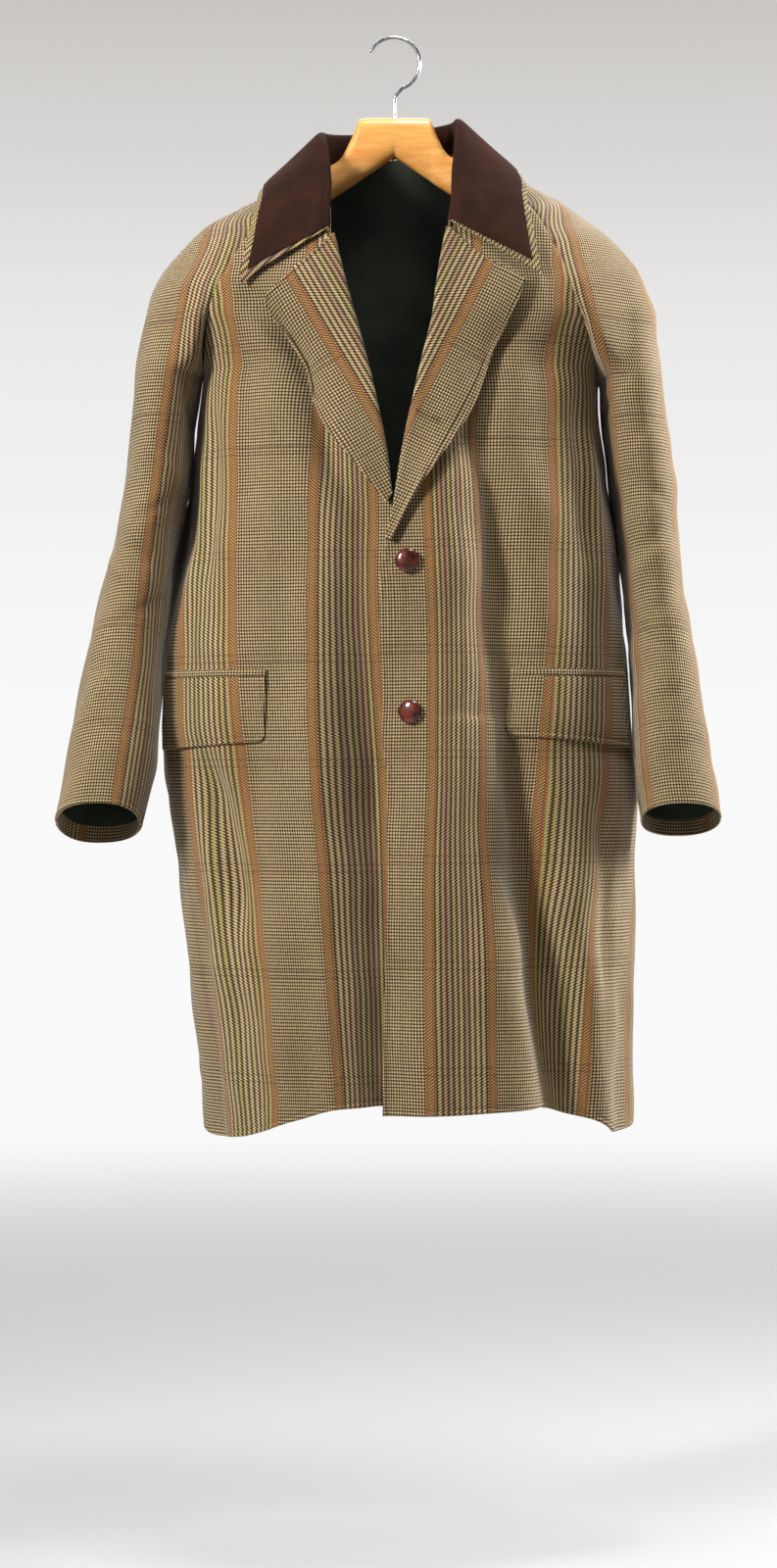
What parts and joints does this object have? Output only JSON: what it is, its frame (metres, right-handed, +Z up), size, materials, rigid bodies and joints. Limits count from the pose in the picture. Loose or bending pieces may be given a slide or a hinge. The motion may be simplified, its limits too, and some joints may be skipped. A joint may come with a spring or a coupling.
{
  "type": "tweed overcoat on a hanger",
  "caption": "Knee-length raglan overcoat in checked tweed with a velvet collar, notched lapels and flap pockets, hung buttoned on a wooden hanger.",
  "frame": {"origin": "top of the inside of the hanger's hook, where it bears on a rail", "axes": "+Z up, -Y the way the coat faces, +X the wearer's left"},
  "size_m": [0.723, 0.3371, 1.2169],
  "materials": {
    "tweed": "woollen tweed with wide vertical bands and a faint overcheck",
    "velvet": "cotton velvet, short pile",
    "lining": "dark green satin",
    "button": "polished, chestnut brown",
    "wood": "varnished, golden",
    "steel": "plated wire"
  },
  "bodies": {
    "root": {"back": "tweed", "button_lower": "button", "button_upper": "button", "flap_left": "tweed", "flap_right": "tweed", "front_left": "tweed", "front_right": "tweed", "hanger_body": "wood", "hanger_hook": "steel", "jet_left": "tweed", "jet_right": "tweed", "lapel_left": "tweed", "lapel_right": "tweed", "sleeve_back_left": "tweed", "sleeve_back_right": "tweed", "sleeve_front_left": "tweed", "sleeve_front_right": "tweed", "sleeve_lining_left": "lining", "sleeve_lining_right": "lining", "under_collar": "tweed", "velvet_collar": "velvet"}
  },
  "joints": []
}
